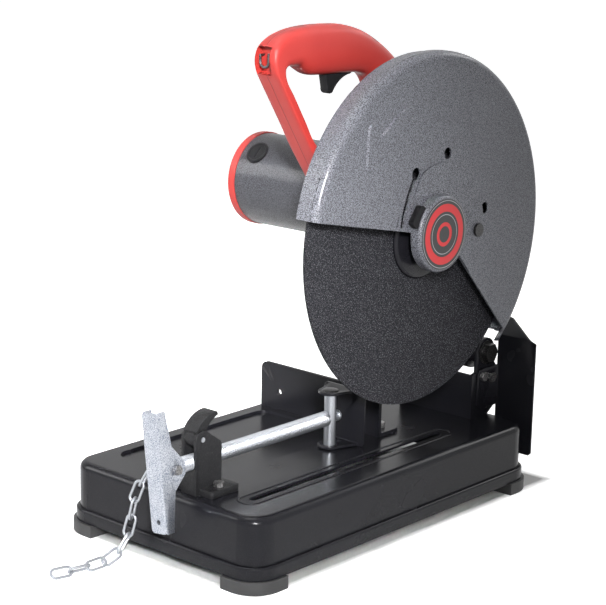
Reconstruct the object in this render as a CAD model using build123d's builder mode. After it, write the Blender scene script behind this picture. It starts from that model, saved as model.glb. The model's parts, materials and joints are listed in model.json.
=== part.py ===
"""Abrasive chop saw for metal, 355 mm wheel. Millimetres, +Z up.

The origin is the middle of the base on the bench. +X points to the wheel side, -Y to the operator.
The head stands at its rest height, with the wheel above the slot in the base.
"""

import os
from math import cos, radians, sin

from build123d import *

# Base pressing
base_width = 270.0
base_length = 450.0
table_z = 75.0
foot_height = 13.5
sheet = 2.5
skirt_step = 4.0
skirt_top_z = 27.0
corner_radius = 30.0
small_bolt = 3.0
rim_radius = 8.0
recess_depth = 3.0
recess_x = (-110.0, 17.5)
recess_y = (-165.0, 47.0)
lobe_place = (-93.0, -162.0)
lobe_radius = 17.0
slot_y = (-179.0, 120.0)
slot_width = 9.0

# Wheel, spindle and motor
wheel_x = 84.0
wheel_radius = 177.5
wheel_thickness = 3.0
spindle_y = 69.5
spindle_z = 299.5
motor_y = 36.0
motor_z = 340.0
motor_radius = 49.0
motor_end_x = -101.0
cap_length = 11.0
flange_radius = 44.0
spindle_radius = 12.7

# Head pivot and rear bracket
pivot_y = base_length / 2 - 19.2
pivot_z = 148.3
pivot_radius = 8.0
bracket_x = (-22.0, 78.5)
bracket_y = (base_length / 2 - 43, base_length / 2 + 1)
bracket_sheet = 4.0

# Guard
guard_radius = wheel_radius + 8.5
guard_lift = 4.0
guard_back_x = 76.5
guard_step_x = 93.5
guard_face_x = 104.0
guard_sheet = 2.0
guard_front_angle = 168.6
guard_rear_angle = -47.3
guard_apex_offset = 21.6

# Handle
handle_x = 28.0
handle_width = 31.0
handle_round = 5.0
opening_round = 2.5

# Gear housing
gearbox_x = (10.0, guard_back_x)

# Fence
fence_y = 58.7
fence_x = (-124.0, 48.0)
fence_top_z = 126.4
fence_sheet = 4.0
fence_pivot = (30.0, 80.0)

# Vise
screw_x = 31.0
screw_z = 107.5
screw_radius = 8.0
jaw_pin_y = -2.0
jaw_pin_radius = 6.25
jaw_width = 56.0
jaw_top_z = 137.0
block_x = (20.5, 41.0)
block_y = (-210.0, -174.6)
block_top_z = 123.0
block_foot_x = (4.0, 58.0)
block_foot_y = (-205.0, -166.0)
block_foot = 7.0
hinge_pin = (-200.8, 130.7)
hinge_pin_radius = 2.45
cheek_radius = 9.2
lever_slot = (24.5, 37.5)
lever_gap = 0.2
handle_plate_y = -base_length / 2 - 29

# Transport chain
link_length = 25.0
link_width = 12.5
link_wire = 1.4

running_gap = 0.05
bolt_gap = 0.25


def level(z):
    """Horizontal sketch plane at height z."""
    return Plane.XY.offset(z)


def facing_x(x):
    """Sketch plane across X, with Y to the right and Z up."""
    return Plane.YZ.offset(x)


def facing_y(y):
    """Sketch plane across Y, with X to the right and Z up, which extrudes towards -Y."""
    return Plane.XZ.offset(-y)


def write(part, name):
    """Label a finished piece and write it as its own STEP file."""
    part.label = name
    export_step(part, f"parts/{name}.step")


def span(pair):
    """Length between the two ends of a pair."""
    return pair[1] - pair[0]


def middle(pair):
    """Middle of a pair."""
    return (pair[0] + pair[1]) / 2


def around(centre, radius, angle):
    """Point at an angle on a circle in a plane across X, as (Y, Z)."""
    return (centre[0] + radius * cos(radians(angle)), centre[1] + radius * sin(radians(angle)))


def screw_along(plane, centres, shank_radius, shank_length, head_radius, head_height, hexagon=True):
    """Bolts whose heads sit on the plane's outer side and whose shanks run back through it."""
    with BuildPart() as bolts:
        with BuildSketch(plane):
            with Locations(*centres):
                if hexagon:
                    RegularPolygon(head_radius, 6)
                else:
                    Circle(head_radius)
        extrude(amount=head_height)
        with BuildSketch(plane):
            with Locations(*centres):
                Circle(shank_radius)
        extrude(amount=-shank_length)
    return bolts.part


os.makedirs("parts", exist_ok=True)


# ---------------------------------------------------------------- base pressing
def press_form(inset):
    """Solid bounded by the pressing's skin, moved in by inset."""
    wall_width = base_width - 2 * skirt_step
    wall_length = base_length - 2 * skirt_step
    with BuildPart() as form:
        with BuildSketch(level(foot_height)):
            RectangleRounded(base_width - 2 * inset, base_length - 2 * inset, corner_radius - inset)
        extrude(amount=skirt_top_z - foot_height - inset)
        fillet(form.edges().group_by(Axis.Z)[-1], 2.5 - inset * 0.6)
        with BuildSketch(level(foot_height)):
            RectangleRounded(
                wall_width - 2 * inset, wall_length - 2 * inset, corner_radius - skirt_step - inset
            )
        extrude(amount=table_z - foot_height - inset)
        fillet(form.edges().group_by(Axis.Z)[-1], rim_radius - inset)
        with BuildSketch(level(table_z - inset)):
            with Locations((middle(recess_x), middle(recess_y))):
                RectangleRounded(span(recess_x) + 2 * inset, span(recess_y) + 2 * inset, 14 + inset)
            with Locations(lobe_place):
                Circle(lobe_radius + inset)
        extrude(amount=-recess_depth, mode=Mode.SUBTRACT)
    return form.part


bracket_bolt_rows = (bracket_y[0] + 10, bracket_y[0] + 25)
bracket_bolt_places = [(x, y) for y in bracket_bolt_rows for x in (-10.0, 64.0)]
block_bolt_places = [(48.3, -186.0), (13.7, -186.0)]
eye_place = (-4.7, -211.95)
fence_lock_radius = 105.0
arc_from, arc_to = 178.0, 132.0

with BuildPart() as base_pan:
    add(press_form(0))
    add(press_form(sheet), mode=Mode.SUBTRACT)
    with BuildSketch(level(table_z)):
        with Locations((wheel_x, middle(slot_y))):
            SlotOverall(span(slot_y), slot_width, rotation=90)
        with Locations(*bracket_bolt_places):
            Circle(3 + bolt_gap)
        with Locations(*block_bolt_places):
            Circle(3 + bolt_gap)
        with Locations(fence_pivot):
            Circle(4 + bolt_gap)
        with Locations(eye_place):
            Circle(3 + bolt_gap)
    extrude(amount=-sheet - 1, mode=Mode.SUBTRACT)
    with BuildSketch(level(table_z)):
        with BuildLine():
            lock_path = CenterArc(fence_pivot, fence_lock_radius, arc_to - 2, arc_from - arc_to + 4)
        SlotArc(lock_path.edge(), 2 * (4 + bolt_gap))
    extrude(amount=-sheet - 1, mode=Mode.SUBTRACT)
write(base_pan.part, "base_pan")


# ---------------------------------------------------------------- rubber feet
def corner_foot(sx, sy):
    """Rubber foot that follows one corner of the skirt, with a plug inside it."""
    overhang = 3.0
    pad = corner_radius + overhang + 13
    cx = sx * (base_width / 2 + overhang - pad / 2)
    cy = sy * (base_length / 2 + overhang - pad / 2)
    plug_shift = sheet + 0.5
    plug = corner_radius - plug_shift + 2.5
    px = sx * (base_width / 2 - plug_shift - plug / 2)
    py = sy * (base_length / 2 - plug_shift - plug / 2)
    with BuildPart() as foot:
        with BuildSketch(level(0)):
            with Locations((cx, cy)):
                Rectangle(pad, pad)
            outer = vertices().sort_by(lambda v: sx * v.X + sy * v.Y)[-1]
            fillet(outer, corner_radius + overhang)
            rest = vertices().sort_by(lambda v: sx * v.X + sy * v.Y)[0]
            fillet(rest, 6)
        extrude(amount=foot_height)
        fillet(foot.faces().sort_by(Axis.Z)[0].edges(), 1.5)
        with BuildSketch(level(foot_height)):
            with Locations((px, py)):
                Rectangle(plug, plug)
            corner = vertices().sort_by(lambda v: sx * v.X + sy * v.Y)[-1]
            fillet(corner, corner_radius - plug_shift)
        extrude(amount=8)
        with BuildSketch(level(0)):
            with Locations((cx, cy)):
                Circle(3.25)
        extrude(amount=foot_height + 8, mode=Mode.SUBTRACT)
    return foot.part


for x_side, x_name in ((-1, "left"), (1, "right")):
    for y_side, y_name in ((-1, "front"), (1, "rear")):
        write(corner_foot(x_side, y_side), f"foot_{y_name}_{x_name}")


# ---------------------------------------------------------------- rear bracket
ear_radius = 16.0
ear_shoulder_z = 136.0
plate_top_z = 125.0
bracket_floor_y = bracket_y[0] + 31
plate_bolts = [(bracket_y[0] + 17, 122.0), (bracket_y[0] + 33, 118.0)]


def ear_outline():
    """Side of the bracket: an upright ear with a round head at the pivot."""
    front = bracket_y[0]
    rear = bracket_y[1]
    with BuildSketch() as outline:
        with BuildLine():
            Polyline(
                (pivot_y - ear_radius, pivot_z),
                (pivot_y - ear_radius, plate_top_z + 2),
                (front, plate_top_z),
                (front, table_z),
                (bracket_floor_y, table_z),
                (rear, table_z + 9),
                (rear, ear_shoulder_z - 6),
                (rear - 5, ear_shoulder_z),
                (pivot_y + ear_radius, ear_shoulder_z + 4),
                (pivot_y + ear_radius, pivot_z),
            )
            ThreePointArc(
                (pivot_y + ear_radius, pivot_z),
                (pivot_y, pivot_z + ear_radius),
                (pivot_y - ear_radius, pivot_z),
            )
        make_face()
        with Locations((pivot_y, pivot_z)):
            Circle(pivot_radius + bolt_gap, mode=Mode.SUBTRACT)
    return outline.sketch


with BuildPart() as rear_bracket:
    for ear_x in (bracket_x[0], bracket_x[1] - bracket_sheet):
        with BuildSketch(facing_x(ear_x)):
            add(ear_outline())
        extrude(amount=bracket_sheet)
    with BuildSketch(facing_y(bracket_y[0])):
        with Locations((middle(bracket_x), (table_z + plate_top_z) / 2)):
            Rectangle(span(bracket_x), plate_top_z - table_z)
    extrude(amount=-bracket_sheet)
    with BuildSketch(level(table_z)):
        with Locations((middle(bracket_x), (bracket_y[0] + bracket_floor_y) / 2)):
            Rectangle(span(bracket_x), bracket_floor_y - bracket_y[0])
        with Locations(*bracket_bolt_places):
            Circle(3 + bolt_gap, mode=Mode.SUBTRACT)
    extrude(amount=bracket_sheet)
    with BuildSketch(facing_x(bracket_x[1])):
        with Locations(*plate_bolts):
            Circle(3 + bolt_gap)
    extrude(amount=-bracket_sheet, mode=Mode.SUBTRACT)
write(rear_bracket.part, "rear_bracket")

write(
    screw_along(level(table_z + bracket_sheet), bracket_bolt_places, 3, 12, 5.5, 4),
    "bracket_bolts",
)

nut_height = 7.0
washer_height = 1.6
washer_radius = 13.0
with BuildPart() as pivot_shaft:
    with BuildSketch(facing_x(bracket_x[0] - 2)):
        with Locations((pivot_y, pivot_z)):
            Circle(pivot_radius)
    extrude(amount=span(bracket_x) + 4)
    for face_x, direction in ((bracket_x[1], 1), (bracket_x[0], -1)):
        with BuildSketch(facing_x(face_x)):
            with Locations((pivot_y, pivot_z)):
                Circle(washer_radius)
        extrude(amount=direction * washer_height)
        with BuildSketch(facing_x(face_x + direction * washer_height)):
            with Locations((pivot_y, pivot_z)):
                RegularPolygon(11, 6)
        extrude(amount=direction * nut_height)
write(pivot_shaft.part, "pivot_shaft")


# ---------------------------------------------------------------- spark plate
plate_y = bracket_y[1] + 2
plate_sheet = 2.0
plate_right_x = 129.0
plate_z = (33.0, 165.0)
lip_rise = 17.0
lip_back = 18.0
ear_z = (84.0, 130.0)
with BuildPart() as spark_plate:
    with BuildSketch(facing_x(bracket_x[1])):
        with BuildLine():
            Polyline(
                (plate_y, plate_z[0]),
                (plate_y, plate_z[1]),
                (plate_y + lip_back, plate_z[1] + lip_rise),
                (plate_y + lip_back + 1.4, plate_z[1] + lip_rise - 1.4),
                (plate_y + plate_sheet, plate_z[1] - 0.8),
                (plate_y + plate_sheet, plate_z[0]),
                close=True,
            )
        make_face()
    extrude(amount=plate_right_x - bracket_x[1])
    with BuildSketch(facing_y(plate_y - 1)):
        with BuildLine():
            Polyline(
                (bracket_x[1], plate_z[0]),
                (plate_right_x - 3, plate_z[0]),
                (plate_right_x, plate_z[0] + 3),
                (plate_right_x, plate_z[1] - 3),
                (plate_right_x - 10, plate_z[1] + 0.5),
                (bracket_x[1] + 1.5, plate_z[1] + lip_rise + 1),
                (bracket_x[1], plate_z[1] + lip_rise + 1),
                close=True,
            )
        make_face()
    extrude(amount=-(lip_back + plate_sheet + 2), mode=Mode.INTERSECT)
    with BuildSketch(facing_x(bracket_x[1])):
        with BuildLine():
            Polyline(
                (plate_y + plate_sheet, ear_z[0]),
                (plate_y + plate_sheet, ear_z[1]),
                (bracket_y[0] + 12, ear_z[1]),
                (bracket_y[0] + 8, ear_z[1] - 4),
                (bracket_y[0] + 8, ear_z[0] + 6),
                (bracket_y[0] + 14, ear_z[0]),
                close=True,
            )
        make_face()
        with Locations(*plate_bolts):
            Circle(3 + bolt_gap, mode=Mode.SUBTRACT)
    extrude(amount=plate_sheet)
write(spark_plate.part, "spark_plate")
write(
    screw_along(facing_x(bracket_x[1] + plate_sheet), plate_bolts, 3, 11, 5.5, 4),
    "spark_plate_screws",
)

# ---------------------------------------------------------------- return spring
coil_radius = 19.0
coil_wire = 1.6
coil_turns = 4
coil_pitch = 4.2
spring_x = -14.0
with BuildPart() as return_spring:
    with BuildLine() as coil:
        Helix(
            coil_pitch,
            coil_pitch * coil_turns,
            coil_radius,
            center=(spring_x, pivot_y, pivot_z),
            direction=(1, 0, 0),
        )
    with BuildSketch(Plane(origin=coil.line @ 0, z_dir=coil.line % 0)):
        Circle(coil_wire)
    sweep(is_frenet=True)
write(return_spring.part, "return_spring")

# ---------------------------------------------------------------- fence
fence_foot = 40.0
lock_angle = radians(arc_from)
fence_lock_place = (
    fence_pivot[0] + fence_lock_radius * cos(lock_angle),
    fence_pivot[1] + fence_lock_radius * sin(lock_angle),
)
with BuildPart() as fence:
    with BuildSketch(facing_y(fence_y)):
        with Locations((middle(fence_x), (table_z + fence_top_z) / 2)):
            Rectangle(span(fence_x), fence_top_z - table_z)
        top = vertices().group_by(Axis.Y)[-1]
        fillet(top, 8)
        with Locations((-97.0, 95.0)):
            Circle(3.5, mode=Mode.SUBTRACT)
    extrude(amount=-fence_sheet)
    with BuildSketch(level(table_z)):
        with Locations((middle(fence_x), fence_y + fence_foot / 2)):
            Rectangle(span(fence_x), fence_foot)
        far = vertices().group_by(Axis.Y)[-1]
        fillet(far, 12)
        with Locations(fence_pivot, fence_lock_place):
            Circle(4 + bolt_gap, mode=Mode.SUBTRACT)
    extrude(amount=fence_sheet)
    inner = fence.edges().filter_by(Axis.X).filter_by_position(Axis.Y, fence_y + 3.5, fence_y + 4.5)
    bend = inner.filter_by_position(Axis.Z, table_z + 3.5, table_z + 4.5)
    fillet(bend, 3)
write(fence.part, "fence")
write(
    screw_along(level(table_z + fence_sheet), [fence_pivot, fence_lock_place], 4, 12, 7.5, 5),
    "fence_bolts",
)


# ---------------------------------------------------------------- vise nut block

def cheek_outline():
    """Side of the nut block: an upright with a round nose at the lever's hinge and a sloping top."""
    front = block_y[0]
    back = block_y[1]
    with BuildSketch() as outline:
        with BuildLine():
            c1 = Polyline((back, table_z), (front, table_z), (front, hinge_pin[1]))
            c2 = ThreePointArc(
                c1 @ 1, around(hinge_pin, cheek_radius, 117), around(hinge_pin, cheek_radius, 55)
            )
            Polyline(c2 @ 1, (back - 2, block_top_z + 2), (back, block_top_z), (back, table_z))
        make_face()
    return outline.sketch


def lever_arcs(first, last):
    """Outline of the lever above its hinge, starting and closing near it."""
    with BuildLine() as outline:
        a1 = Line(first, (-208.5, 139.5))
        a2 = ThreePointArc(a1 @ 1, (-199.0, 149.5), (-180.5, 155.0))
        a3 = Line(a2 @ 1, (-178.8, 151.5))
        ThreePointArc(a3 @ 1, (-188.0, 147.0), last)
    return outline.line


with BuildPart() as vise_block:
    with BuildSketch(level(table_z)):
        with Locations((middle(block_foot_x), middle(block_foot_y))):
            RectangleRounded(span(block_foot_x), span(block_foot_y), 4)
    extrude(amount=block_foot)
    with BuildSketch(facing_x(block_x[0])):
        add(cheek_outline())
    extrude(amount=span(block_x))
    with BuildSketch(level(table_z)):
        with Locations(*block_bolt_places):
            Circle(small_bolt + bolt_gap)
    extrude(amount=block_foot + 1, mode=Mode.SUBTRACT)
    with BuildSketch(level(screw_z)):
        with Locations((middle(lever_slot), middle(block_y))):
            Rectangle(span(lever_slot), span(block_y) + 2)
    extrude(amount=50, mode=Mode.SUBTRACT)
    with BuildSketch(facing_y(block_y[1] + 1)):
        with Locations((screw_x, screw_z)):
            Circle(screw_radius + running_gap)
    extrude(amount=span(block_y) + 2, mode=Mode.SUBTRACT)
    with BuildSketch(facing_x(block_x[0])):
        with Locations(hinge_pin):
            Circle(hinge_pin_radius + running_gap)
    extrude(amount=span(block_x), mode=Mode.SUBTRACT)
write(vise_block.part, "vise_block")
write(
    screw_along(level(table_z + block_foot), block_bolt_places, small_bolt, 15, 5.5, 4.5),
    "vise_block_bolts",
)
with BuildPart() as half_nut_pin:
    with BuildSketch(facing_x(block_x[0] - 0.5)):
        with Locations(hinge_pin):
            Circle(hinge_pin_radius)
    extrude(amount=span(block_x) + 1)
write(half_nut_pin.part, "half_nut_pin")

tab_x = (22.0, 40.0)
shoe_z = screw_z + 1
with BuildPart() as half_nut:
    with BuildSketch(facing_x(lever_slot[0] + lever_gap)):
        with Locations(hinge_pin):
            Circle(cheek_radius - 0.2)
        with BuildLine():
            Polyline(
                (-200.8, 124.5),
                (-197.0, 113.0),
                (-197.0, shoe_z),
                (-177.0, shoe_z),
                (-177.0, 120.0),
                (-195.0, 138.0),
                close=True,
            )
        make_face()
        with BuildLine():
            add(lever_arcs((-206.5, 131.0), (-195.5, 139.0)))
            Polyline((-195.5, 139.0), (-194.0, 131.0), (-206.5, 131.0))
        make_face()
    extrude(amount=span(lever_slot) - 2 * lever_gap)
    with BuildSketch(facing_x(tab_x[0])):
        with BuildLine():
            add(lever_arcs((-207.0, 138.1), (-195.5, 139.0)))
            ThreePointArc((-195.5, 139.0), (-201.3, 140.5), (-207.0, 138.1))
        make_face()
    extrude(amount=span(tab_x))
    with BuildSketch(facing_y(block_y[1])):
        with Locations((screw_x, screw_z)):
            Circle(screw_radius + running_gap)
    extrude(amount=span(block_y), mode=Mode.SUBTRACT)
    with BuildSketch(facing_x(lever_slot[0])):
        with Locations(hinge_pin):
            Circle(hinge_pin_radius + running_gap)
    extrude(amount=span(lever_slot), mode=Mode.SUBTRACT)
write(half_nut.part, "half_nut")

# ---------------------------------------------------------------- vise screw, pin, jaw
handle_length = 118.0
handle_tilt = 7.3
handle_sheet = 2.0
handle_inner = 2 * screw_radius + 0.4
handle_plane = Plane(
    origin=(screw_x, handle_plate_y, screw_z),
    x_dir=(cos(radians(handle_tilt)), 0, sin(radians(handle_tilt))),
    z_dir=(0, -1, 0),
)
handle_bolt_depth = 18.0

nose_radius = 4.0
screw_front_y = handle_plate_y + 6
shoulder_y = jaw_pin_y - jaw_pin_radius - 0.6
with BuildPart() as vise_screw:
    with BuildSketch(facing_y(shoulder_y)):
        with Locations((screw_x, screw_z)):
            Circle(screw_radius)
    extrude(amount=shoulder_y - screw_front_y)
    with BuildSketch(facing_y(shoulder_y)):
        with Locations((screw_x, screw_z)):
            Circle(nose_radius)
    extrude(amount=-(jaw_pin_radius * 2 + 7))
    with BuildSketch(facing_y(jaw_pin_y + jaw_pin_radius + 1)):
        with Locations((screw_x, screw_z)):
            Circle(6)
    extrude(amount=-4)
    with BuildSketch(
        Plane(origin=handle_plane.from_local_coords((0, 0, -handle_bolt_depth)), z_dir=handle_plane.x_dir)
    ):
        Circle(3 + bolt_gap)
    extrude(amount=screw_radius + 3, both=True, mode=Mode.SUBTRACT)
write(vise_screw.part, "vise_screw")

with BuildPart() as jaw_pin:
    with BuildSketch(level(table_z + 0.6)):
        with Locations((screw_x, jaw_pin_y)):
            Circle(jaw_pin_radius)
    extrude(amount=jaw_top_z - table_z - 0.3)
    with BuildSketch(facing_y(jaw_pin_y)):
        with Locations((screw_x, screw_z)):
            Circle(nose_radius + running_gap)
    extrude(amount=jaw_pin_radius + 1, both=True, mode=Mode.SUBTRACT)
write(jaw_pin.part, "jaw_pin")

jaw_sheet = 3.0
jaw_face_y = 23.0
with BuildPart() as vise_jaw:
    with BuildSketch(facing_y(jaw_face_y)):
        with Locations((screw_x, (table_z + 0.5 + jaw_top_z) / 2)):
            RectangleRounded(jaw_width, jaw_top_z - table_z - 0.5, 4)
    extrude(amount=jaw_sheet)
    for ear_z in (table_z + 0.5, jaw_top_z - jaw_sheet):
        with BuildSketch(level(ear_z)):
            with BuildLine():
                e1 = Polyline(
                    (screw_x - 13, jaw_pin_y),
                    (screw_x - 21, jaw_face_y - 1),
                    (screw_x + 21, jaw_face_y - 1),
                    (screw_x + 13, jaw_pin_y),
                )
                ThreePointArc(e1 @ 1, (screw_x, jaw_pin_y - 13), e1 @ 0)
            make_face()
            with Locations((screw_x, jaw_pin_y)):
                Circle(jaw_pin_radius + running_gap, mode=Mode.SUBTRACT)
        extrude(amount=jaw_sheet)
write(vise_jaw.part, "vise_jaw")

# ---------------------------------------------------------------- vise handle
def handle_cheek():
    """One cheek of the folded handle: deep at the screw, shallow at the ends."""
    half = handle_length / 2
    with BuildSketch() as cheek_side:
        with BuildLine():
            Polyline(
                (0, -half), (8, -half), (14, -20), (29, -6), (29, 6), (14, 24), (9, half), (0, half), close=True
            )
        make_face()
        with Locations((handle_bolt_depth, 0)):
            Circle(3 + bolt_gap, mode=Mode.SUBTRACT)
    return cheek_side.sketch


with BuildPart() as vise_handle:
    with BuildSketch(handle_plane):
        RectangleRounded(handle_inner + 2 * handle_sheet, handle_length, 4)
        with Locations((0, -48)):
            Circle(2.5, mode=Mode.SUBTRACT)
    extrude(amount=handle_sheet)
    for side in (-1, 1):
        offset_x = side * (handle_inner / 2 + handle_sheet) - (handle_sheet if side > 0 else 0)
        cheek_plane = Plane(
            origin=handle_plane.from_local_coords((offset_x, 0, 0)),
            x_dir=(0, 1, 0),
            z_dir=handle_plane.x_dir,
        )
        with BuildSketch(cheek_plane):
            add(handle_cheek())
        extrude(amount=handle_sheet)
write(vise_handle.part, "vise_handle")

bolt_plane = Plane(
    origin=handle_plane.from_local_coords((handle_inner / 2 + handle_sheet, 0, -handle_bolt_depth)),
    x_dir=(0, 1, 0),
    z_dir=handle_plane.x_dir,
)
with BuildPart() as handle_bolt:
    with BuildSketch(bolt_plane):
        RegularPolygon(5, 6)
    extrude(amount=3.5)
    with BuildSketch(bolt_plane):
        Circle(2.9)
    extrude(amount=-(handle_inner + 2 * handle_sheet + 4))
write(handle_bolt.part, "handle_bolt")

# ---------------------------------------------------------------- chain
eye_z = 97.0
eye_across = (0.85, -0.53, 0)
eye_towards_chain = (0.53, 0.85, 0)
with BuildPart() as chain_eye:
    with BuildSketch(level(table_z)):
        with Locations(eye_place):
            Circle(7)
    extrude(amount=2)
    with BuildSketch(level(table_z - 8)):
        with Locations(eye_place):
            Circle(3)
    extrude(amount=eye_z - table_z + 8 - 6)
    with BuildSketch(Plane(origin=(*eye_place, eye_z), x_dir=eye_across, z_dir=eye_towards_chain)):
        with Locations((0, 6.5)):
            Circle(1.8)
    revolve(axis=Axis((*eye_place, eye_z), eye_across), revolution_arc=360)
write(chain_eye.part, "chain_eye")

chain_route = [
    (-13.0, -225.0, 86.5),
    (-18.0, -232.5, 71.2),
    (-21.0, -235.0, 53.6),
    (-23.5, -237.0, 35.6),
    (-26.0, -242.7, 18.4),
    (-27.5, -257.6, 7.6),
    (-29.0, -276.6, 5.2),
    (-32.5, -295.4, 4.9),
    (-37.0, -314.0, 4.9),
]
chain_bend = 5


def chain_link(index):
    """Closed wire link, its flat turned a quarter against its neighbours'."""
    centre = Vector(*chain_route[index])
    before = Vector(*chain_route[max(index - 1, 0)])
    after = Vector(*chain_route[min(index + 1, len(chain_route) - 1)])
    along = (after - before).normalized()
    side = along.cross(Vector(0.3, -0.95, 0)).normalized()
    if index > chain_bend:
        level_side = along.cross(Vector(0, 0, 1)).normalized()
        side = (level_side + along.cross(level_side)).normalized()
    normal = side if index % 2 == 0 else along.cross(side)
    half_straight = (link_length - link_width) / 2
    bend = link_width / 2 - link_wire
    frame = Plane(origin=centre, x_dir=along, z_dir=normal)
    with BuildPart() as link:
        with BuildSketch(Plane(origin=centre, x_dir=frame.y_dir, z_dir=along)):
            with Locations((-bend, 0), (bend, 0)):
                Circle(link_wire)
        extrude(amount=half_straight, both=True)
        for end in (-1, 1):
            turn = centre + along * (end * half_straight)
            with BuildSketch(Plane(origin=turn, x_dir=frame.y_dir, z_dir=along)):
                with Locations((bend, 0)):
                    Circle(link_wire)
            revolve(axis=Axis(turn, normal * -end), revolution_arc=180)
    return link.part


with BuildPart() as transport_chain:
    for number in range(len(chain_route)):
        add(chain_link(number))
write(transport_chain.part, "transport_chain")


# ---------------------------------------------------------------- head: gear housing
def hull_of(circles):
    """Smooth outline stretched round circles given as (across, up, radius)."""
    with BuildSketch() as outline:
        for across, up, radius in circles:
            with Locations((across, up)):
                Circle(radius)
        make_hull(mode=Mode.REPLACE)
    return outline.sketch


def housing_hull(shrink):
    """Outline round the motor axis, the spindle and the handle's rear foot."""
    return hull_of(
        (
            (motor_y, motor_z, motor_radius + 7 - shrink),
            (spindle_y, spindle_z, 54 - shrink),
            (98, 352, 26 - shrink),
        )
    )


housing_wall = 6.0
bearing_radius = 17.5
gear_x = (44.0, 58.0)
with BuildPart() as gear_housing:
    with BuildSketch(facing_x(gearbox_x[0])):
        add(housing_hull(0))
    extrude(amount=span(gearbox_x))
    left_rim = gear_housing.faces().sort_by(Axis.X)[0].edges()
    fillet(left_rim, 4)
    with BuildSketch(facing_x(gearbox_x[0] + housing_wall)):
        add(housing_hull(housing_wall))
    extrude(amount=span(gearbox_x) - 2 * housing_wall, mode=Mode.SUBTRACT)
    with BuildSketch(facing_x(gearbox_x[1])):
        with Locations((spindle_y, spindle_z)):
            Circle(bearing_radius)
    extrude(amount=-housing_wall, mode=Mode.SUBTRACT)
    with BuildSketch(facing_x(gearbox_x[0])):
        with Locations((motor_y, motor_z)):
            Circle(30)
        with Locations((92.0, 283.0)):
            Circle(6 + running_gap)
    extrude(amount=housing_wall, mode=Mode.SUBTRACT)
write(gear_housing.part, "gear_housing")

# ---------------------------------------------------------------- swing arm
arm_x = (18.0, 62.0)
hub_radius = 14.5
hub_x = (bracket_x[0] + bracket_sheet + 0.4, bracket_x[1] - bracket_sheet - 0.4)
arm_hub = 21.0
stop_tip = (176.5, 136.6)
stop_dir = Vector(0, 0.43, -0.90).normalized()
with BuildPart() as swing_arm:
    with BuildSketch(facing_x(arm_x[0])):
        add(hull_of(((pivot_y, pivot_z, arm_hub), (92.0, 300.0, 40))))
        add(housing_hull(0), mode=Mode.SUBTRACT)
    extrude(amount=span(arm_x))
    for side_x, depth in ((arm_x[0], 16), (arm_x[1], -16)):
        with BuildSketch(facing_x(side_x)):
            add(hull_of(((176.0, 190.0, 10), (134.0, 244.0, 21))))
        extrude(amount=depth, mode=Mode.SUBTRACT)
    with BuildSketch(facing_x(hub_x[0])):
        with Locations((pivot_y, pivot_z)):
            Circle(hub_radius)
    extrude(amount=span(hub_x))
    with BuildSketch(facing_x(hub_x[0])):
        with Locations((pivot_y, pivot_z)):
            Circle(pivot_radius + running_gap)
    extrude(amount=span(hub_x), mode=Mode.SUBTRACT)
    with BuildSketch(Plane(origin=(40, *stop_tip), z_dir=stop_dir)):
        Circle(4.05)
    extrude(amount=-60, mode=Mode.SUBTRACT)
write(swing_arm.part, "swing_arm")

with BuildPart() as depth_stop:
    with BuildSketch(Plane(origin=(40, *stop_tip), z_dir=stop_dir)):
        Circle(4)
    extrude(amount=-48)
    with BuildSketch(Plane(origin=(40, *stop_tip), z_dir=stop_dir)):
        RegularPolygon(7, 6)
    extrude(amount=-5)
write(depth_stop.part, "depth_stop")

# ---------------------------------------------------------------- motor
motor_wall = 3.5
brush_x = -81.0
brush_angle = 136.0
brush_radius = 13.0


def brush_plane(angle, radius):
    """Plane square to a brush, its normal pointing outwards from the motor axis."""
    outward = (0, cos(radians(angle)), sin(radians(angle)))
    origin = (brush_x, motor_y + radius * outward[1], motor_z + radius * outward[2])
    return Plane(origin=origin, x_dir=(1, 0, 0), z_dir=outward)


with BuildPart() as motor_housing:
    with BuildSketch(facing_x(motor_end_x)):
        with Locations((motor_y, motor_z)):
            Circle(motor_radius)
            Circle(motor_radius - motor_wall, mode=Mode.SUBTRACT)
    extrude(amount=gearbox_x[0] - motor_end_x)
    for angle in (brush_angle, brush_angle - 180):
        with BuildSketch(brush_plane(angle, motor_radius - 6)):
            Circle(brush_radius + 0.1)
        extrude(amount=12, mode=Mode.SUBTRACT)
write(motor_housing.part, "motor_housing")

with BuildPart() as brush_caps:
    for angle in (brush_angle, brush_angle - 180):
        with BuildSketch(brush_plane(angle, motor_radius - 5)):
            Circle(brush_radius)
        extrude(amount=6.2)
        with BuildSketch(brush_plane(angle, motor_radius + 1.2)):
            Circle(brush_radius - 3)
        extrude(amount=-1, mode=Mode.SUBTRACT)
        with BuildSketch(brush_plane(angle, motor_radius + 0.2)):
            Rectangle(2, 13)
        extrude(amount=-1.5, mode=Mode.SUBTRACT)
write(brush_caps.part, "brush_caps")

with BuildPart() as motor_cap:
    with BuildSketch(facing_x(motor_end_x)):
        with Locations((motor_y, motor_z)):
            Circle(motor_radius + 1)
    extrude(amount=-cap_length)
    fillet(motor_cap.faces().sort_by(Axis.X)[0].edges(), 4)
    with BuildSketch(facing_x(motor_end_x)):
        with Locations((motor_y, motor_z)):
            Circle(motor_radius - 3)
    extrude(amount=-cap_length + 3, mode=Mode.SUBTRACT)
    with BuildSketch(facing_x(motor_end_x - cap_length)):
        with Locations((motor_y, motor_z)):
            with PolarLocations(30, 16):
                SlotOverall(18, 4)
    extrude(amount=3, mode=Mode.SUBTRACT)
write(motor_cap.part, "motor_cap")

with BuildPart() as motor_field:
    with BuildSketch(facing_x(-60)):
        with Locations((motor_y, motor_z)):
            Circle(motor_radius - motor_wall)
            Circle(27, mode=Mode.SUBTRACT)
            with PolarLocations(34, 2, start_angle=46):
                RectangleRounded(12, 44, 4, mode=Mode.SUBTRACT)
    extrude(amount=56)
write(motor_field.part, "motor_field")


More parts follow.
